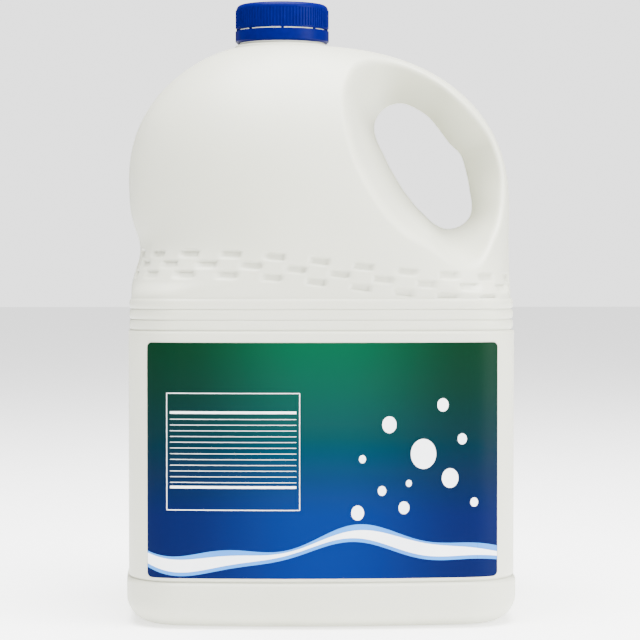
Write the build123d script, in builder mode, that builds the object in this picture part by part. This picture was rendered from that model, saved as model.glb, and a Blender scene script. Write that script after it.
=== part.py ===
from build123d import *
import os
from math import cos, exp, radians, sin

# A one gallon plastic milk jug, full and shut, in millimetres with +Z up.
# The origin is the centre of the footprint, on the surface that the jug stands on.
# The front label faces -Y, the handle is on the +X side and the mould's parting plane is Y = 0.

# Lower body: a bumper at the foot, a flat label panel and a stack of rounded beads.
body_width = 165.0
body_depth = 132.0
front_bow = 6.0
side_bow = 2.5
corner_radius = 24.0
bumper_height = 19.2
base_rounding = 11.5
groove_rounding = 1.2
panel_height = 103.2
panel_inset = 0.8
bead_count = 3
bead_height = 4.3
bead_inset = 1.2
bead_rounding = 1.7
core_inset = 2.0
base_ring_width = 22.0
base_recess = 2.5

# Upper body: a waist above the beads, then a dome that closes in to the neck.
dome_height = 107.2
dome_sections = 20
section_points = 48
dome_inset = 0.2
shoulder_inset = 1.6
waist_height = 20.5
waist_dip = 4.2
waist_spread = 11.0
front_inset = 2.8
shoulder_squareness = 4.8
dome_squareness = 2.2
squareness_fade = 12.4
handle_side_widest = 38.4
far_side_widest = 49.0
front_widest = 30.0
dome_power = 2.3
handle_side_flatness = 0.49
far_side_flatness = 0.70
front_flatness = 0.60

# Neck and its finish under the cap.
neck_offset = 16.0
finish_radius = 18.3
neck_step = 0.8
collar_step = 2.3
collar_height = 1.4
collar_overlap = 0.4
neck_height = 0.8
finish_height = 15.2

# Handle opening: its edge on the parting plane, from its centre every 22.5 degrees from +X towards +Z,
# and how far the opening widens for each millimetre that it goes out from that plane.
opening_from_side = 37.5
opening_below_dome_top = 52.5
opening_radii = (18.8, 17.9, 16.6, 19.0, 25.1, 31.2, 29.3, 18.4, 13.5, 11.8, 11.9, 13.7, 18.5, 27.4, 28.8, 22.2)
opening_flares = (0.78, 0.82, 0.75, 0.69, 0.73, 0.72, 0.41, 0.33, 0.28, 0.25, 0.25, 0.26, 0.26, 0.33, 0.30, 0.55)
flare_margin = 4.0

# Cap and tamper band, which rest on the neck.
fit_gap = 0.3
cap_wall = 1.25
cap_lip = 0.6
cap_height = 10.6
cap_top_rounding = 2.2
cap_top_thickness = 1.4
knurl_ribs = 90
rib_radius = 0.35
rib_bottom = 0.8
rib_top = 8.4
band_wall = 1.65
band_height = 5.2
band_chamfer = 0.8
bridge_count = 8
bridge_width = 1.2

# Labels: one film on the front and one on the back, which wrap on to the corners.
label_side_inset = 9.7
label_bottom_margin = 1.9
label_top_margin = 4.9
label_corner_radius = 2.0
label_thickness = 0.2

# Heights, radii and places that follow from the sizes above.
neck_radius = finish_radius + neck_step
collar_radius = finish_radius + collar_step
mouth_radius = collar_radius - collar_overlap
panel_top = bumper_height + panel_height
shoulder_height = panel_top + bead_count * bead_height
dome_top = shoulder_height + dome_height
neck_bottom = dome_top + collar_height
band_bottom = neck_bottom + neck_height
band_top = band_bottom + band_height
cap_bottom = band_top + cap_lip
finish_top = neck_bottom + finish_height + neck_height
cap_top = finish_top + cap_top_thickness
opening_centre = (body_width / 2 - opening_from_side, dome_top - opening_below_dome_top)


def plan(inset):
    """The lower body's outline, this far inside the bumper, with bowed sides and round corners."""
    half_width = body_width / 2 - inset
    half_depth = body_depth / 2 - inset
    x = half_width - side_bow
    y = half_depth - front_bow
    with BuildSketch() as outline:
        with BuildLine():
            ThreePointArc((-x, -y), (0, -half_depth), (x, -y))
            ThreePointArc((x, -y), (half_width, 0), (x, y))
            ThreePointArc((x, y), (0, half_depth), (-x, y))
            ThreePointArc((-x, y), (-half_width, 0), (-x, -y))
        make_face()
        fillet(outline.vertices(), corner_radius - inset)
    return outline.sketch


def slab(bottom, top, inset, bottom_rounding, top_rounding):
    """A slice of the lower body between two heights, with its lower and upper edges rounded."""
    with BuildPart() as block:
        with BuildSketch(Plane.XY.offset(bottom)):
            add(plan(inset))
        extrude(amount=top - bottom)
        fillet(block.edges().group_by(Axis.Z)[0], bottom_rounding)
        fillet(block.edges().group_by(Axis.Z)[-1], top_rounding)
    return block.part


def reach(height, near, far, widest, flatness):
    """How far a side of the dome stands from the neck's axis plane, from `far` in to `near` at the neck."""
    rise = max(0.0, (height - widest) / (dome_height - widest))
    return near + (far - near) * (1 - rise**dome_power) ** flatness


def lean_in(height, widest, inset):
    """How far a side of the upper body stands inside the bumper, from the shoulder up to its widest."""
    low_share = max(0.0, 1 - height / widest)
    return inset + (shoulder_inset - inset) * low_share


def dome_outline(height):
    """Points round the upper body at this height above the shoulder, as a rounded, lopsided ellipse."""
    waist = waist_dip * exp(-(((height - waist_height) / waist_spread) ** 2))
    far_side = body_width / 2 - lean_in(height, far_side_widest, dome_inset) - waist
    handle_side = body_width / 2 - lean_in(height, handle_side_widest, dome_inset)
    front = body_depth / 2 - lean_in(height, front_widest, front_inset)
    left = reach(height, neck_offset + mouth_radius, far_side, far_side_widest, far_side_flatness)
    right = reach(height, mouth_radius - neck_offset, handle_side, handle_side_widest, handle_side_flatness)
    half_depth = reach(height, mouth_radius, front, front_widest, front_flatness)
    centre = (right - left) / 2
    half_width = (right + left) / 2
    power = dome_squareness + (shoulder_squareness - dome_squareness) * exp(-height / squareness_fade)
    points = []
    for step in range(section_points):
        angle = radians(360 * step / section_points)
        across = abs(cos(angle) / half_width) ** power + abs(sin(angle) / half_depth) ** power
        radius = across ** (-1 / power)
        points.append((centre + radius * cos(angle), radius * sin(angle)))
    return points


def opening_outline(depth):
    """Points round the handle opening in a plane this far out from the parting plane."""
    points = []
    for step, (radius, flare) in enumerate(zip(opening_radii, opening_flares)):
        angle = radians(360 * step / len(opening_radii))
        size = radius + flare * depth
        points.append((opening_centre[0] + size * cos(angle), opening_centre[1] + size * sin(angle)))
    return points


def make_opening():
    """What the handle opening and the hollows that widen from it, front and back, take out of the body."""
    depth = body_depth / 2 + flare_margin
    with BuildPart() as opening:
        with BuildSketch(Plane.XZ):
            with BuildLine():
                Spline(*opening_outline(0), periodic=True)
            make_face()
        with BuildSketch(Plane.XZ.offset(depth)):
            with BuildLine():
                Spline(*opening_outline(depth), periodic=True)
            make_face()
        loft(ruled=True)
        mirror(about=Plane.XZ)
    return opening.part


def make_dome():
    """The upper body, with the handle opening and its hollows cut through it."""
    with BuildPart() as dome:
        for section in range(dome_sections + 1):
            height = dome_height * sin(radians(90 * section / dome_sections))
            with BuildSketch(Plane.XY.offset(shoulder_height + height)):
                with BuildLine():
                    Spline(*dome_outline(height), periodic=True)
                make_face()
        loft()
        add(make_opening(), mode=Mode.SUBTRACT)
    return dome.part


def make_jug():
    """The body, its handle and its neck, in one piece with what fills them."""
    with BuildPart() as jug:
        add(slab(0, bumper_height, 0, base_rounding, groove_rounding))
        add(slab(bumper_height, panel_top, panel_inset, groove_rounding, bead_rounding))
        for bead in range(bead_count):
            bottom = panel_top + bead * bead_height
            add(slab(bottom, bottom + bead_height, bead_inset, bead_rounding, bead_rounding))
        with BuildSketch(Plane.XY.offset(base_rounding)):
            add(plan(core_inset))
        extrude(amount=shoulder_height - base_rounding)
        with BuildSketch():
            add(plan(base_ring_width))
        extrude(amount=base_recess, taper=45, mode=Mode.SUBTRACT)
        add(make_dome())
        for radius, bottom, top in (
            (collar_radius, dome_top - collar_height, neck_bottom),
            (neck_radius, neck_bottom, band_bottom - fit_gap),
            (finish_radius, neck_bottom, finish_top),
        ):
            with BuildSketch(Plane.XY.offset(bottom)):
                with Locations((-neck_offset, 0)):
                    Circle(radius)
            extrude(amount=top - bottom)
    return jug.part


def make_cap():
    """A shallow screw cap: a hollow shell with a ribbed skirt, whose inside rests on the neck's rim."""
    inner_radius = finish_radius + fit_gap
    outer_radius = inner_radius + cap_wall
    with BuildPart() as cap:
        with BuildSketch(Plane.XY.offset(cap_bottom)):
            with Locations((-neck_offset, 0)):
                Circle(outer_radius)
        extrude(amount=cap_top - cap_bottom)
        fillet(cap.edges().group_by(Axis.Z)[-1], cap_top_rounding)
        with BuildSketch(Plane.XY.offset(cap_bottom + rib_bottom)):
            with Locations((-neck_offset, 0)):
                with PolarLocations(outer_radius, knurl_ribs):
                    Circle(rib_radius)
        extrude(amount=rib_top - rib_bottom)
        with BuildSketch(Plane.XY.offset(cap_bottom)):
            with Locations((-neck_offset, 0)):
                Circle(inner_radius)
        extrude(amount=finish_top - cap_bottom, mode=Mode.SUBTRACT)
    return cap.part


def make_band():
    """The tamper band below the cap, with the small bridges that still join it to the cap."""
    inner_radius = finish_radius + fit_gap
    outer_radius = inner_radius + band_wall
    with BuildPart() as band:
        with BuildSketch(Plane.XY.offset(band_bottom)):
            with Locations((-neck_offset, 0)):
                Circle(outer_radius)
        extrude(amount=band_height)
        chamfer(band.edges().group_by(Axis.Z)[0], band_chamfer)
        with BuildSketch(Plane.XY.offset(band_top)):
            with Locations((-neck_offset, 0)):
                with PolarLocations(inner_radius + cap_wall / 2, bridge_count):
                    Rectangle(cap_wall / 2, bridge_width)
        extrude(amount=cap_bottom - band_top)
        with BuildSketch(Plane.XY.offset(band_bottom)):
            with Locations((-neck_offset, 0)):
                Circle(inner_radius)
        extrude(amount=band_height, mode=Mode.SUBTRACT)
    return band.part


def make_label(facing):
    """A thin film on the label panel. It faces -Y where `facing` is -1 and +Y where it is 1."""
    bottom = bumper_height + label_bottom_margin
    top = panel_top - label_top_margin
    width = body_width - 2 * (panel_inset + label_side_inset)
    with BuildPart() as label:
        with BuildSketch(Plane.XY.offset(bottom)):
            add(plan(panel_inset - label_thickness))
            add(plan(panel_inset), mode=Mode.SUBTRACT)
        extrude(amount=top - bottom)
        with BuildSketch(Plane.XZ):
            with Locations((0, (bottom + top) / 2)):
                RectangleRounded(width, top - bottom, label_corner_radius)
        extrude(amount=-facing * body_depth, mode=Mode.INTERSECT)
    return label.part


jug = make_jug()
jug.label = "jug"
cap = make_cap()
cap.label = "cap"
tamper_band = make_band()
tamper_band.label = "tamper_band"
label_front = make_label(-1)
label_front.label = "label_front"
label_back = make_label(1)
label_back.label = "label_back"

os.makedirs("parts", exist_ok=True)
export_step(jug, "parts/jug.step")
export_step(cap, "parts/cap.step")
export_step(tamper_band, "parts/tamper_band.step")
export_step(label_front, "parts/label_front.step")
export_step(label_back, "parts/label_back.step")
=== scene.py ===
import math

import bpy
import numpy as np
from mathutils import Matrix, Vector


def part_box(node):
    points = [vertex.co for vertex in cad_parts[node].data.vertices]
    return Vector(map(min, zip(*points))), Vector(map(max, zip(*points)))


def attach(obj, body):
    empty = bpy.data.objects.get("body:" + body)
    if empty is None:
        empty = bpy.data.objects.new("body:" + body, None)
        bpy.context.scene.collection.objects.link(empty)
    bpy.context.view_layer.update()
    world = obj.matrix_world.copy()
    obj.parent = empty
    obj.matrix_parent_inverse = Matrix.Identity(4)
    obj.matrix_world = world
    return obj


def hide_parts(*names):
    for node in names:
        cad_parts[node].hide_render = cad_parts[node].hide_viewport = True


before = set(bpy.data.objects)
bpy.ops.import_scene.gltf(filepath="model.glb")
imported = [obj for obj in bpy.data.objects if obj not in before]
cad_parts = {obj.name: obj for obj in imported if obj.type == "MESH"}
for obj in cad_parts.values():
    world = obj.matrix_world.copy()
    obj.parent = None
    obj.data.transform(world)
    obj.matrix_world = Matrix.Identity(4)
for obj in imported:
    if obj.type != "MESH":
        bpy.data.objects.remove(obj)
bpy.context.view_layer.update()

# A full one gallon milk jug in milk-white plastic. Sizes are in millimetres, in the frame of the CAD
# model, and become metres where a mesh is made. Most repeat the CAD model's own driving sizes. Those of
# the groove, the beads' curve, the rims and the bricks belong to this finer skin alone.
MM = 0.001
jug_low, jug_high = (np.array(corner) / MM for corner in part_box("jug"))
band_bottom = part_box("tamper_band")[0][2] / MM
label_low, label_high = (np.array(corner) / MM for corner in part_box("label_front"))

HALF_WIDTH = (jug_high[0] - jug_low[0]) / 2
HALF_DEPTH = (jug_high[1] - jug_low[1]) / 2
FRONT_BOW = 6.0
SIDE_BOW = 2.5
CORNER_RADIUS = 24.0
BUMPER_TOP = 19.2
BASE_ROUNDING = 11.5
BASE_RING = 22.0
BASE_RECESS = 2.5
PANEL_TOP = 122.4
PANEL_INSET = 0.8
BEAD_COUNT = 3
BEAD_HEIGHT = 4.3
BEAD_INSET = 1.2
BEAD_DEPTH = 0.85
GROOVE_DEPTH = 1.0
GROOVE_SPREAD = 0.75
PANEL_LIP_HEIGHT = 1.2
PANEL_LIP_DEPTH = 1.2
SHOULDER = PANEL_TOP + BEAD_COUNT * BEAD_HEIGHT

DOME_HEIGHT = 107.2
DOME_TOP = SHOULDER + DOME_HEIGHT
DOME_INSET = 0.2
SHOULDER_INSET = 1.6
SHOULDER_BLEND = 7.0
WAIST_HEIGHT = 20.5
WAIST_DIP = 4.2
WAIST_SPREAD = 11.0
FRONT_INSET = 2.8
SHOULDER_SQUARENESS = 4.8
DOME_SQUARENESS = 2.2
SQUARENESS_FADE = 12.4
HANDLE_SIDE_WIDEST = 38.4
FAR_SIDE_WIDEST = 49.0
FRONT_WIDEST = 30.0
DOME_POWER = 2.3
HANDLE_SIDE_FLATNESS = 0.49
FAR_SIDE_FLATNESS = 0.70
FRONT_FLATNESS = 0.60

NECK_X = -16.0
COLLAR_RADIUS = 20.6
MOUTH_RADIUS = 20.2
NECK_RADIUS = 19.1
FINISH_RADIUS = 18.2

OPENING_X = 45.0
OPENING_Z = DOME_TOP - 52.5
OPENING_RADII = (
    18.8, 17.9, 16.6, 19.0, 25.1, 31.2, 29.3, 18.4,
    13.5, 11.8, 11.9, 13.7, 18.5, 27.4, 28.8, 22.2,
)
OPENING_FLARES = (
    0.78, 0.82, 0.75, 0.69, 0.73, 0.72, 0.41, 0.33,
    0.28, 0.25, 0.25, 0.26, 0.26, 0.33, 0.30, 0.55,
)
OPENING_EDGE = 0.7
RIM_BLEND = 9.0

BRICK_PITCH = 18.4
BRICK_HALF_LENGTH = 4.1
BRICK_HALF_HEIGHT = 1.6
BRICK_ROW_SPACING = 4.3
BRICK_DEPTH = 1.3
BRICK_EDGE = 0.4
BRICK_CORNER = 1.2
BRICK_LEFT_HEIGHT = 149.4
BRICK_RIGHT_HEIGHT = 139.6
BRICK_SLOPE_START = -45
BRICK_SLOPE_END = 75
BRICK_FRONT_SHIFT = 3.3

WORLD_LIGHT = 0.38
BACKDROP_LIGHT = 3.0
FLOOR_GLOW = 1.45
FLOOR_HALF_SIZE = 6.0

# The camera, in metres: a long lens a metre away, a little to the left.
CAMERA_LENS = 129.3
CAMERA_DISTANCE = 1.0
CAMERA_TURN = -1.5
CAMERA_HEIGHT = 0.1525
CAMERA_TARGET = (0.0004, 0, 0.125)

# The skin's grid: columns round the axis, and the heights and columns that bound the handle's patch.
COLUMNS = 420
PATCH_LAYERS = 70
PATCH_SAMPLES = 500
PATCH_BOTTOM = 158
PATCH_TOP = 235.5
PATCH_RIGHT_COLUMN = 8
PATCH_LEFT_DEGREES = 80
FINE_ROWS_TOP = 157
BASE_CORE = 30


def smoothstep(low, high, value):
    share = np.clip((value - low) / (high - low), 0, 1)
    return share * share * (3 - 2 * share)


def smooth_least(a, b, blend):
    """The lesser of two values, with the corner between them rounded over `blend`."""
    near = np.maximum(blend - np.abs(a - b), 0) / blend
    return np.minimum(a, b) - near * near * blend / 4


# ---- The body's form ----


def circle_hit(angle, centre, radius):
    """Distance from the axis along `angle` to the far side of a circle."""
    along = centre[0] * np.cos(angle) + centre[1] * np.sin(angle)
    return along + np.sqrt(np.maximum(along**2 - centre @ centre + radius**2, 0))


def plan_radius(angle, inset):
    """Distance from the axis to the lower body's outline: bowed arcs with a round corner between them."""
    half_width, half_depth = HALF_WIDTH - inset, HALF_DEPTH - inset
    corner = CORNER_RADIUS - inset
    x, y = half_width - SIDE_BOW, half_depth - FRONT_BOW
    front_radius = (x * x + FRONT_BOW**2) / (2 * FRONT_BOW)
    side_radius = (y * y + SIDE_BOW**2) / (2 * SIDE_BOW)
    front_centre = np.array([0.0, half_depth - front_radius])
    side_centre = np.array([half_width - side_radius, 0.0])
    between = side_centre - front_centre
    apart = float(np.hypot(*between))
    to_front, to_side = front_radius - corner, side_radius - corner
    along = (to_front**2 - to_side**2 + apart**2) / (2 * apart)
    off = math.sqrt(max(to_front**2 - along**2, 0.0))
    unit = between / apart
    turned = np.array([-unit[1], unit[0]])
    middle = front_centre + along * unit
    ends = (middle + off * turned, middle - off * turned)
    corner_centre = max(ends, key=lambda p: p[0] + p[1])
    front_end = front_centre + (corner_centre - front_centre) * front_radius / to_front
    side_end = side_centre + (corner_centre - side_centre) * side_radius / to_side
    quadrant = np.arctan2(np.abs(np.sin(angle)), np.abs(np.cos(angle)))
    on_front = quadrant > math.atan2(front_end[1], front_end[0])
    on_side = quadrant < math.atan2(side_end[1], side_end[0])
    radius = circle_hit(quadrant, corner_centre, corner)
    radius = np.where(on_front, circle_hit(quadrant, front_centre, front_radius), radius)
    return np.where(on_side, circle_hit(quadrant, side_centre, side_radius), radius)


def reach(height, near, far, widest, flatness):
    rise = np.clip((height - widest) / (DOME_HEIGHT - widest), 0, 1)
    return near + (far - near) * (1 - rise**DOME_POWER) ** flatness


def lean_in(height, widest, inset):
    low_share = np.clip(1 - height / widest, 0, 1)
    return inset + (SHOULDER_INSET - inset) * low_share


def dome_section(z):
    """Centre, half width, half depth and squareness of the upper body's section at height z."""
    height = np.clip(z - SHOULDER, 0, DOME_HEIGHT)
    waist = WAIST_DIP * np.exp(-(((height - WAIST_HEIGHT) / WAIST_SPREAD) ** 2))
    far = HALF_WIDTH - lean_in(height, FAR_SIDE_WIDEST, DOME_INSET) - waist
    handle = HALF_WIDTH - lean_in(height, HANDLE_SIDE_WIDEST, DOME_INSET)
    front = HALF_DEPTH - lean_in(height, FRONT_WIDEST, FRONT_INSET)
    left = reach(height, -NECK_X + MOUTH_RADIUS, far, FAR_SIDE_WIDEST, FAR_SIDE_FLATNESS)
    right = reach(height, NECK_X + MOUTH_RADIUS, handle, HANDLE_SIDE_WIDEST, HANDLE_SIDE_FLATNESS)
    half_depth = reach(height, MOUTH_RADIUS, front, FRONT_WIDEST, FRONT_FLATNESS)
    fade = np.exp(-height / SQUARENESS_FADE)
    power = DOME_SQUARENESS + (SHOULDER_SQUARENESS - DOME_SQUARENESS) * fade
    rise = height / DOME_HEIGHT
    power = power + (2 - power) * rise**6
    return (right - left) / 2, (right + left) / 2, half_depth, power


def dome_points(angle, z):
    centre, half_width, half_depth, power = dome_section(z)
    cos, sin = np.cos(angle), np.sin(angle)
    across = np.abs(cos / half_width) ** power + np.abs(sin / half_depth) ** power
    radius = across ** (-1 / power)
    return centre + radius * cos, radius * sin


def body_half_depth(x, z):
    centre, half_width, half_depth, power = dome_section(z)
    share = np.clip(np.abs((x - centre) / half_width), 0, 1)
    return half_depth * (1 - share**power) ** (1 / power)


def periodic(values, angle):
    """A smooth closed curve through values given at even angles (Catmull-Rom)."""
    values = np.array(values)
    count = len(values)
    place = np.mod(angle / (2 * math.pi) * count, count)
    index = np.floor(place).astype(int)
    t = place - index
    before, start, end, after = (values[(index + step) % count] for step in (-1, 0, 1, 2))
    return 0.5 * (
        2 * start
        + (end - before) * t
        + (2 * before - 5 * start + 4 * end - after) * t**2
        + (3 * start - before - 3 * end + after) * t**3
    )


def hollow_half_depth(x, z):
    """How far from the parting plane the hollow round the handle opening leaves material."""
    angle = np.arctan2(z - OPENING_Z, x - OPENING_X)
    distance = np.hypot(z - OPENING_Z, x - OPENING_X)
    outside = np.maximum(distance - periodic(OPENING_RADII, angle), 0)
    return np.sqrt(outside**2 + 2 * OPENING_EDGE * outside) / periodic(OPENING_FLARES, angle)


def brick_relief(x, z, along):
    """Depth of the three rows of small recesses that run round the shoulder like a course of bricks."""
    share = smoothstep(BRICK_SLOPE_START, BRICK_SLOPE_END, x)
    middle = BRICK_LEFT_HEIGHT + (BRICK_RIGHT_HEIGHT - BRICK_LEFT_HEIGHT) * share
    depth = np.zeros_like(x)
    for row in (-1, 0, 1):
        shift = 0.5 * BRICK_PITCH if row == 0 else 0.0
        off = np.mod(along - shift + BRICK_PITCH / 2, BRICK_PITCH) - BRICK_PITCH / 2
        rise = z - middle - row * BRICK_ROW_SPACING
        dx = np.maximum(np.abs(off) - (BRICK_HALF_LENGTH - BRICK_CORNER), 0)
        dz = np.maximum(np.abs(rise) - (BRICK_HALF_HEIGHT - BRICK_CORNER), 0)
        outside = np.hypot(dx, dz) - BRICK_CORNER
        depth = np.maximum(depth, 1 - smoothstep(-BRICK_EDGE, BRICK_EDGE, outside))
    return BRICK_DEPTH * depth


def lower_inset(z):
    """How far inside the bumper the lower body's wall stands at height z."""
    inset = np.where(z < BUMPER_TOP, 0.0, PANEL_INSET)
    near_groove = np.exp(-(((z - BUMPER_TOP) / GROOVE_SPREAD) ** 2))
    inset = inset + GROOVE_DEPTH * near_groove
    in_bead = (z - PANEL_TOP) / BEAD_HEIGHT
    bulge = np.sqrt(np.clip(1 - (2 * np.mod(in_bead, 1) - 1) ** 2, 0, 1))
    bead = BEAD_INSET + BEAD_DEPTH * (1 - bulge)
    lip_bottom = PANEL_TOP - PANEL_LIP_HEIGHT
    panel_lip = PANEL_INSET + PANEL_LIP_DEPTH * smoothstep(lip_bottom, PANEL_TOP, z) ** 2
    return np.where(z > PANEL_TOP, bead, np.where(z > lip_bottom, panel_lip, inset))


def wall_points(angle, z):
    """The outer wall at height z, seen along `angle` from the axis, before the handle's hollows."""
    if z <= SHOULDER:
        low = plan_radius(angle, float(lower_inset(np.array(z))))
        return low * np.cos(angle), low * np.sin(angle)
    x, y = dome_points(angle, z)
    low = plan_radius(angle, BEAD_INSET + BEAD_DEPTH)
    share = float(smoothstep(SHOULDER, SHOULDER + SHOULDER_BLEND, z))
    x = x * share + low * np.cos(angle) * (1 - share)
    y = y * share + low * np.sin(angle) * (1 - share)
    step = np.hypot(np.diff(x, append=x[:1]), np.diff(y, append=y[:1]))
    along = np.cumsum(step)
    along -= along[np.argmin(np.abs(angle - 1.5 * math.pi))] - BRICK_FRONT_SHIFT
    relief = brick_relief(x, z, along)
    size = np.hypot(x, y)
    return x * (1 - relief / size), y * (1 - relief / size)


def shell_rows():
    """Each ring of the skin, from the middle of the base to the neck.

    ("base", z, inset), ("wall", z, 0) or ("neck", z, radius).
    """
    rows = []
    for share in np.linspace(0.06, 1, 10):
        inset = HALF_DEPTH - (HALF_DEPTH - BASE_RING - BASE_RECESS) * share
        rows.append(("base", BASE_RECESS, inset))
    rows.append(("base", 0.0, BASE_RING))
    rows.append(("base", 0.0, BASE_ROUNDING + 1.5))
    for turn in np.linspace(0, math.pi / 2, 12):
        inset = BASE_ROUNDING * (1 - math.sin(turn))
        rows.append(("base", BASE_ROUNDING * (1 - math.cos(turn)), inset))
    for z in np.concatenate(
        [
            np.linspace(13, 17.4, 4),
            np.linspace(17.8, 20.8, 13),
            np.linspace(24, PANEL_TOP - 3, 34),
            np.linspace(PANEL_TOP - 1.6, PANEL_TOP, 6),
            np.linspace(PANEL_TOP, SHOULDER, 34)[1:],
            np.linspace(SHOULDER, FINE_ROWS_TOP, 54)[1:],
            FINE_ROWS_TOP + (DOME_TOP - FINE_ROWS_TOP) * np.sin(np.linspace(0, math.pi / 2, 92))[1:],
        ]
    ):
        rows.append(("wall", float(z), 0.0))
    for z, radius in (
        (DOME_TOP + 0.6, COLLAR_RADIUS - 0.15),
        (DOME_TOP + 1.1, COLLAR_RADIUS - 0.6),
        (DOME_TOP + 1.3, NECK_RADIUS + 0.3),
        (DOME_TOP + 1.6, NECK_RADIUS),
        (band_bottom - 0.4, NECK_RADIUS),
        (band_bottom - 0.3, FINISH_RADIUS),
        (jug_high[2] - 0.2, FINISH_RADIUS),
        (jug_high[2] - 0.1, FINISH_RADIUS * 0.5),
    ):
        rows.append(("neck", z, radius))
    return rows


def skin_grid():
    """The points of every ring, with the handle's hollows pressed in, and the rings they belong to."""
    angle = np.linspace(0, 2 * math.pi, COLUMNS, endpoint=False)
    points, rows = [], shell_rows()
    for kind, z, size in rows:
        if kind == "base":
            if size < HALF_DEPTH - BASE_CORE:
                radius = plan_radius(angle, size)
            else:
                radius = plan_radius(angle, HALF_DEPTH - BASE_CORE) * (HALF_DEPTH - size) / BASE_CORE
            x, y = radius * np.cos(angle), radius * np.sin(angle)
        elif kind == "wall":
            x, y = wall_points(angle, z)
            if z > SHOULDER:
                depth = smooth_least(np.abs(y), hollow_half_depth(x, z), RIM_BLEND)
                y = np.sign(y) * np.where(np.abs(y) > 0.5, np.maximum(depth, 0.05), np.abs(y))
        else:
            x, y = NECK_X + size * np.cos(angle), size * np.sin(angle)
        points.append(np.stack([x, y, np.full_like(x, z)], axis=1))
    return np.array(points), rows


def patch_range(grid, rows):
    """The rows and columns of the grid that the patch round the opening takes the place of."""
    heights = grid[:, 0, 2]
    walls = [i for i, row in enumerate(rows) if row[0] == "wall"]
    low = min(i for i in walls if heights[i] > PATCH_BOTTOM)
    high = max(i for i in walls if heights[i] < PATCH_TOP)
    return low, high, PATCH_RIGHT_COLUMN, round(COLUMNS * PATCH_LEFT_DEGREES / 360)


def build_skin():
    """The jug's skin: the grid, with a patch of radial lines round the handle opening on each side."""
    grid, rows = skin_grid()
    low, high, right, left = patch_range(grid, rows)
    vertices = [tuple(p) for p in grid.reshape(-1, 3)]
    faces = []

    def at(row, column):
        return row * COLUMNS + column % COLUMNS

    for row in range(len(rows) - 1):
        for column in range(COLUMNS):
            inside = low <= row < high
            back_patch = inside and right <= column < left
            front_patch = inside and COLUMNS - left <= column < COLUMNS - right
            if back_patch or front_patch:
                continue
            low_edge = at(row, column), at(row, column + 1)
            faces.append((*low_edge, at(row + 1, column + 1), at(row + 1, column)))
    bottom_middle = len(vertices)
    vertices.append((0.0, 0.0, BASE_RECESS))
    top_middle = len(vertices)
    vertices.append((NECK_X, 0.0, jug_high[2] - 0.1))
    for column in range(COLUMNS):
        faces.append((bottom_middle, at(0, column + 1), at(0, column)))
        faces.append((top_middle, at(len(rows) - 1, column), at(len(rows) - 1, column + 1)))

    # The patch's outer ring on the back (+Y) side, then its mirror on the front.
    ring = [(low, c) for c in range(right, left)]
    ring += [(r, left) for r in range(low, high)]
    ring += [(high, c) for c in range(left, right, -1)]
    ring += [(r, right) for r in range(high, low, -1)]
    edge_ids = []
    for side in (1, -1):
        ids = [at(row, column if side == 1 else COLUMNS - column) for row, column in ring]
        outer = np.array([vertices[i] for i in ids])
        turn = np.arctan2(outer[:, 2] - OPENING_Z, outer[:, 0] - OPENING_X)
        far = np.hypot(outer[:, 2] - OPENING_Z, outer[:, 0] - OPENING_X)
        near = periodic(OPENING_RADII, turn)
        layers = [ids]
        distance = far[:, None] + (near - far)[:, None] * np.linspace(0, 1, PATCH_SAMPLES)
        x = OPENING_X + distance * np.cos(turn)[:, None]
        z = OPENING_Z + distance * np.sin(turn)[:, None]
        depth = smooth_least(body_half_depth(x, z), hollow_half_depth(x, z), RIM_BLEND)
        fade = np.clip(hollow_half_depth(x, z) / 3, 0, 1)
        depth = np.maximum(depth, 0) * fade + hollow_half_depth(x, z) * (1 - fade)
        depth[:, 0] = np.abs(outer[:, 1])
        length = np.cumsum(np.hypot(np.hypot(np.diff(x), np.diff(z)), np.diff(depth)), axis=1)
        length = np.concatenate([np.zeros((len(ids), 1)), length], axis=1)
        for layer in range(1, PATCH_LAYERS + 1):
            share = layer / PATCH_LAYERS
            last = layer == PATCH_LAYERS
            if last and side == -1:
                layers.append(edge_ids)
                continue
            new = []
            for i in range(len(ids)):
                wanted = share * length[i, -1]
                px = np.interp(wanted, length[i], x[i])
                pz = np.interp(wanted, length[i], z[i])
                py = 0.0 if last else np.interp(wanted, length[i], depth[i])
                new.append(len(vertices))
                vertices.append((float(px), float(side * py), float(pz)))
            layers.append(new)
            if last:
                edge_ids = new
        for outer_ids, inner_ids in zip(layers, layers[1:]):
            for i in range(len(ids)):
                j = (i + 1) % len(ids)
                quad = (outer_ids[i], outer_ids[j], inner_ids[j], inner_ids[i])
                faces.append(quad if side == 1 else quad[::-1])
    return vertices, faces


def add_mesh(name, vertices, faces, material):
    mesh = bpy.data.meshes.new(name)
    mesh.from_pydata([tuple(c * MM for c in v) for v in vertices], [], faces)
    mesh.polygons.foreach_set("use_smooth", [True] * len(mesh.polygons))
    mesh.materials.append(material)
    mesh.validate()
    piece = bpy.data.objects.new(name, mesh)
    bpy.context.scene.collection.objects.link(piece)
    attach(piece, "root")
    return piece


# ---- Materials ----


def new_material(name):
    material = bpy.data.materials.new(name)
    material.use_nodes = True
    nodes = material.node_tree.nodes
    return material, nodes, material.node_tree.links, nodes["Principled BSDF"]


def add_bump(nodes, links, shader, scale, strength, distance):
    place = nodes.new("ShaderNodeTexCoord")
    noise = nodes.new("ShaderNodeTexNoise")
    noise.inputs["Scale"].default_value = scale
    noise.inputs["Detail"].default_value = 4
    bump = nodes.new("ShaderNodeBump")
    bump.inputs["Strength"].default_value = strength
    bump.inputs["Distance"].default_value = distance
    links.new(place.outputs["Object"], noise.inputs["Vector"])
    links.new(noise.outputs["Fac"], bump.inputs["Height"])
    links.new(bump.outputs["Normal"], shader.inputs["Normal"])
    return place, noise


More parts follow.
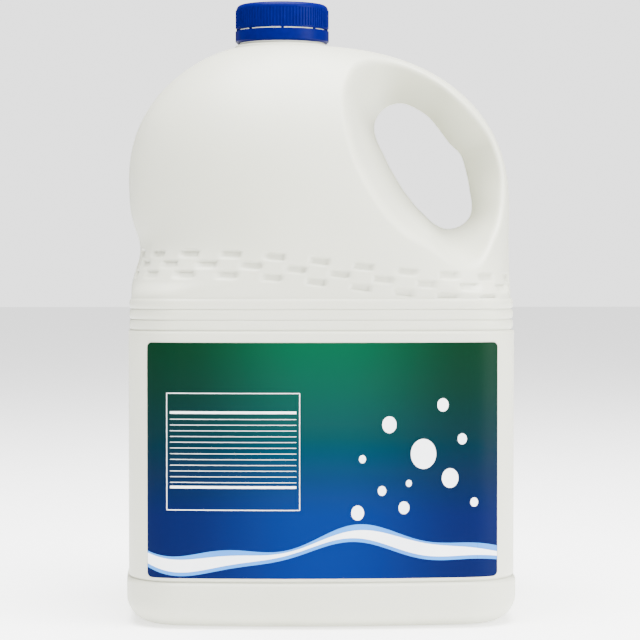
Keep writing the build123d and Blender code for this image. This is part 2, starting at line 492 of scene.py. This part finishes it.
def milk_plastic():
    """Thin milk-white polyethylene with milk behind it: satin, translucent and faintly mottled."""
    material, nodes, links, shader = new_material("milk_plastic")
    place, _ = add_bump(nodes, links, shader, 260, 0.12, 0.0002)
    mottle = nodes.new("ShaderNodeTexNoise")
    mottle.inputs["Scale"].default_value = 18
    links.new(place.outputs["Object"], mottle.inputs["Vector"])
    ramp = nodes.new("ShaderNodeValToRGB")
    ramp.color_ramp.elements[0].position = 0.35
    ramp.color_ramp.elements[0].color = (0.525, 0.532, 0.438, 1)
    ramp.color_ramp.elements[1].position = 0.65
    ramp.color_ramp.elements[1].color = (0.548, 0.555, 0.462, 1)
    links.new(mottle.outputs["Fac"], ramp.inputs["Fac"])
    links.new(ramp.outputs["Color"], shader.inputs["Base Color"])
    shader.inputs["Roughness"].default_value = 0.42
    shader.inputs["IOR"].default_value = 1.5
    shader.inputs["Subsurface Weight"].default_value = 0.25
    shader.inputs["Subsurface Radius"].default_value = (1.0, 0.95, 0.8)
    shader.inputs["Subsurface Scale"].default_value = 0.004
    return material


def cap_plastic():
    material, nodes, links, shader = new_material("cap_plastic")
    _, noise = add_bump(nodes, links, shader, 500, 0.15, 0.0001)
    ramp = nodes.new("ShaderNodeValToRGB")
    ramp.color_ramp.elements[0].position = 0.3
    ramp.color_ramp.elements[0].color = (0.0, 0.0008, 0.060, 1)
    ramp.color_ramp.elements[1].position = 0.7
    ramp.color_ramp.elements[1].color = (0.0, 0.0012, 0.075, 1)
    links.new(noise.outputs["Fac"], ramp.inputs["Fac"])
    links.new(ramp.outputs["Color"], shader.inputs["Base Color"])
    shader.inputs["Roughness"].default_value = 0.38
    shader.inputs["Specular IOR Level"].default_value = 0.04
    return material


def label_film():
    """Printed film: green at the top through teal to blue at the foot, with a painted highlight that
    makes it lighter along the middle.
    """
    material, nodes, links, shader = new_material("label_film")
    place = nodes.new("ShaderNodeTexCoord")
    split = nodes.new("ShaderNodeSeparateXYZ")
    links.new(place.outputs["Object"], split.inputs["Vector"])
    height = nodes.new("ShaderNodeMapRange")
    height.inputs["From Min"].default_value = label_low[2] * MM
    height.inputs["From Max"].default_value = label_high[2] * MM
    links.new(split.outputs["Z"], height.inputs["Value"])
    colours = []
    # The print's colours in two ramps: the first is for the film's sides, the second, lighter one is
    # painted highlight for its middle.
    for stops in (
        ((0.0, (0.0, 0.0030, 0.038)), (0.26, (0.0, 0.0032, 0.038)), (0.42, (0.0, 0.006, 0.024)),
         (0.60, (0.0, 0.010, 0.014)), (0.80, (0.0, 0.013, 0.008)), (1.0, (0.0, 0.015, 0.005))),
        ((0.0, (0.0, 0.009, 0.090)), (0.26, (0.0, 0.011, 0.085)), (0.42, (0.0, 0.015, 0.052)),
         (0.60, (0.0, 0.024, 0.028)), (0.80, (0.0, 0.034, 0.022)), (1.0, (0.0, 0.042, 0.018))),
    ):
        ramp = nodes.new("ShaderNodeValToRGB")
        while len(ramp.color_ramp.elements) < len(stops):
            ramp.color_ramp.elements.new(0.5)
        for element, (position, colour) in zip(ramp.color_ramp.elements, stops):
            element.position = position
            element.color = (*colour, 1)
        links.new(height.outputs["Result"], ramp.inputs["Fac"])
        colours.append(ramp)
    across = nodes.new("ShaderNodeMath")
    across.operation = "ABSOLUTE"
    links.new(split.outputs["X"], across.inputs[0])
    # Painted highlight: the colour is mixed toward the lighter ramp along the film's middle.
    painted_highlight = nodes.new("ShaderNodeMapRange")
    painted_highlight.interpolation_type = "SMOOTHSTEP"
    painted_highlight.inputs["From Min"].default_value = 0.060
    painted_highlight.inputs["From Max"].default_value = 0.004
    links.new(across.outputs["Value"], painted_highlight.inputs["Value"])
    mix = nodes.new("ShaderNodeMix")
    mix.data_type = "RGBA"
    links.new(painted_highlight.outputs["Result"], mix.inputs["Factor"])
    links.new(colours[0].outputs["Color"], mix.inputs["A"])
    links.new(colours[1].outputs["Color"], mix.inputs["B"])
    links.new(mix.outputs["Result"], shader.inputs["Base Color"])
    shader.inputs["Roughness"].default_value = 0.34
    shader.inputs["Specular IOR Level"].default_value = 0.04
    noise = nodes.new("ShaderNodeTexNoise")
    noise.inputs["Scale"].default_value = 60
    bump = nodes.new("ShaderNodeBump")
    bump.inputs["Strength"].default_value = 0.08
    bump.inputs["Distance"].default_value = 0.0002
    links.new(place.outputs["Object"], noise.inputs["Vector"])
    links.new(noise.outputs["Fac"], bump.inputs["Height"])
    links.new(bump.outputs["Normal"], shader.inputs["Normal"])
    return material


def ink(name, low, high):
    """A printed ink whose tone varies a little between two colours."""
    material, nodes, links, shader = new_material(name)
    place = nodes.new("ShaderNodeTexCoord")
    noise = nodes.new("ShaderNodeTexNoise")
    noise.inputs["Scale"].default_value = 45
    ramp = nodes.new("ShaderNodeValToRGB")
    ramp.color_ramp.elements[0].position = 0.35
    ramp.color_ramp.elements[0].color = (*low, 1)
    ramp.color_ramp.elements[1].position = 0.65
    ramp.color_ramp.elements[1].color = (*high, 1)
    links.new(place.outputs["Object"], noise.inputs["Vector"])
    links.new(noise.outputs["Fac"], ramp.inputs["Fac"])
    links.new(ramp.outputs["Color"], shader.inputs["Base Color"])
    shader.inputs["Roughness"].default_value = 0.34
    shader.inputs["Specular IOR Level"].default_value = 0.2
    return material


# ---- The label's print: simple shapes that lie on the film ----

FILM_INSET = PANEL_INSET - 0.2
SKY_LIFT = 0.03
MILK_LIFT = 0.06
PRINT_STEP = 0.7
DROPS = (
    (14, 48, 2.6), (24, 57, 1.7), (33, 50, 2.2), (52, 62, 3.4), (41, 72, 5.2), (57, 78, 1.9),
    (27, 84, 2.9), (16, 70, 1.4), (49, 92, 2.3), (35, 60, 1.2), (62, 52, 1.6),
)


def on_film(x, z, facing, lift):
    """A point of the print at width x and height z, on the film's curved face."""
    dense = np.linspace(math.pi / 2, 0, 400)
    radius = plan_radius(dense, FILM_INSET)
    px, py = radius * np.cos(dense), radius * np.sin(dense)
    depth = np.interp(abs(x), px, py)
    return (-facing * x, facing * (depth + lift), z)


def strip(shape, facing, lift, columns):
    """A printed shape given as x from low to high and functions of its lower and upper edge."""
    x0, x1, lower, upper = shape
    vertices, faces = [], []
    spread = 0.5 - 0.5 * np.cos(np.linspace(0, math.pi, columns))
    for i, x in enumerate(x0 + (x1 - x0) * spread):
        for z in (lower(x), upper(x)):
            vertices.append(on_film(x, z, facing, lift))
        if i:
            k = 2 * i
            faces.append((k - 2, k, k + 1, k - 1) if facing == -1 else (k - 2, k - 1, k + 1, k))
    return vertices, faces


def bar(x0, x1, z0, z1):
    return (x0, x1, lambda x: z0, lambda x: z1)


def disc(x, z, radius_x, radius_z):
    def edge(sign):
        return lambda p: z + sign * radius_z * math.sqrt(max(0.0, 1 - ((p - x) / radius_x) ** 2))

    return (x - radius_x, x + radius_x, edge(-1), edge(1))


def print_piece(name, shapes, facing, lift, material):
    vertices, faces = [], []
    for shape in shapes:
        columns = max(24, round((shape[1] - shape[0]) / PRINT_STEP))
        more, quads = strip(shape, facing, lift, min(columns, 160))
        faces += [tuple(i + len(vertices) for i in quad) for quad in quads]
        vertices += more
    return add_mesh(name, vertices, faces, material)


def table_lines():
    """An empty ruled table, with a heavy line under its head and over its foot."""
    x0, x1, z0, z1 = -64.0, -9.5, 49.0, 97.0
    line, fine_line, heavy_line, margin, row_count = 0.28, 0.18, 1.0, 1.5, 13
    lines = [bar(x0, x1, z0, z0 + line), bar(x0, x1, z1 - line, z1)]
    lines += [bar(x0, x0 + line, z0, z1), bar(x1 - line, x1, z0, z1)]
    heads = (z1 - 8.5, z0 + 9.0)
    lines += [bar(x0 + margin, x1 - margin, z, z + heavy_line) for z in heads]
    for row in range(1, row_count):
        z = heads[1] + (heads[0] - heads[1]) * row / row_count
        lines.append(bar(x0 + margin, x1 - margin, z, z + fine_line))
    return lines


def make_print(facing, milk, sky):
    """A milk wave with a blue crest behind it, drops and the table, on the label of one side."""
    side = "front" if facing == -1 else "back"

    def swell(x):
        return label_low[2] + 13 + 5.5 * math.sin(x / 21.0 + 0.6) + 1.6 * math.sin(x / 8.5)

    def body(x):
        return 3.2 + 2.0 * math.sin(x / 15.0 - 0.9)

    edge = label_high[0] - 0.1
    wave = (-edge, edge, lambda x: swell(x) - body(x), swell)
    crest = (
        -edge,
        edge,
        lambda x: swell(x) - body(x) - 1.5,
        lambda x: swell(x) + 1.6 + 0.8 * math.sin(x / 9.0),
    )
    print_piece("print_sky_" + side, [crest], facing, SKY_LIFT, sky)
    drops = [disc(x, z, radius, radius * 1.18) for x, z, radius in DROPS]
    print_piece("print_milk_" + side, [wave] + drops + table_lines(), facing, MILK_LIFT, milk)


# ---- Stage ----


def set_stage():
    """A white studio: soft even light from all round, a brighter white behind, and a pale floor."""
    world = bpy.data.worlds.new("studio")
    bpy.context.scene.world = world
    world.use_nodes = True
    nodes, links = world.node_tree.nodes, world.node_tree.links
    soft = nodes["Background"]
    soft.inputs["Color"].default_value = (1, 1, 1, 1)
    soft.inputs["Strength"].default_value = WORLD_LIGHT
    backdrop = nodes.new("ShaderNodeBackground")
    backdrop.inputs["Strength"].default_value = BACKDROP_LIGHT
    ray = nodes.new("ShaderNodeLightPath")
    mix = nodes.new("ShaderNodeMixShader")
    links.new(ray.outputs["Is Camera Ray"], mix.inputs["Fac"])
    links.new(soft.outputs["Background"], mix.inputs[1])
    links.new(backdrop.outputs["Background"], mix.inputs[2])
    links.new(mix.outputs["Shader"], nodes["World Output"].inputs["Surface"])
    mesh = bpy.data.meshes.new("floor")
    size = FLOOR_HALF_SIZE
    corners = [(-size, -size, 0), (size, -size, 0), (size, size, 0), (-size, size, 0)]
    mesh.from_pydata(corners, [], [(0, 1, 2, 3)])
    floor = bpy.data.objects.new("floor", mesh)
    bpy.context.scene.collection.objects.link(floor)
    material, _, _, shader = new_material("floor_paper")
    shader.inputs["Base Color"].default_value = (0.95, 0.95, 0.95, 1)
    shader.inputs["Roughness"].default_value = 0.9
    shader.inputs["Emission Color"].default_value = (1, 1, 1, 1)
    shader.inputs["Emission Strength"].default_value = FLOOR_GLOW
    mesh.materials.append(material)


def add_light(name, place, target, size, power):
    data = bpy.data.lights.new(name, "AREA")
    data.shape = "RECTANGLE"
    data.size, data.size_y = size
    data.energy = power
    light = bpy.data.objects.new(name, data)
    light.location = place
    bpy.context.scene.collection.objects.link(light)
    aim(light, target)


def aim(thing, target):
    toward = Vector(target) - Vector(thing.location)
    thing.rotation_euler = toward.to_track_quat("-Z", "Y").to_euler()


def set_camera():
    data = bpy.data.cameras.new("camera")
    data.lens = CAMERA_LENS
    data.sensor_width = 36
    camera = bpy.data.objects.new("camera", data)
    bpy.context.scene.collection.objects.link(camera)
    turn = math.radians(CAMERA_TURN)
    camera.location = (CAMERA_DISTANCE * math.sin(turn), -CAMERA_DISTANCE * math.cos(turn), CAMERA_HEIGHT)
    aim(camera, CAMERA_TARGET)
    bpy.context.scene.camera = camera


jug_material = milk_plastic()
skin_vertices, skin_faces = build_skin()
jug = add_mesh("jug_skin", skin_vertices, skin_faces, jug_material)
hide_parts("jug")

cap_material = cap_plastic()
film_material = label_film()
for node, material in (
    ("cap", cap_material),
    ("tamper_band", cap_material),
    ("label_front", film_material),
    ("label_back", film_material),
):
    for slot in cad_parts[node].material_slots:
        slot.material = material

milk_ink = ink("milk_ink", (0.80, 0.83, 0.86), (0.92, 0.93, 0.94))
sky_ink = ink("sky_ink", (0.02, 0.16, 0.52), (0.03, 0.22, 0.62))
for facing in (-1, 1):
    make_print(facing, milk_ink, sky_ink)

set_stage()
add_light("top", (0.0, -0.15, 1.1), (0, 0, 0.15), (1.0, 0.9), 74)
add_light("front", (0.35, -1.5, 0.6), (0, 0, 0.13), (1.4, 1.2), 12)
add_light("right", (1.2, -0.6, 0.5), (0, 0, 0.13), (0.8, 1.0), 34)
set_camera()
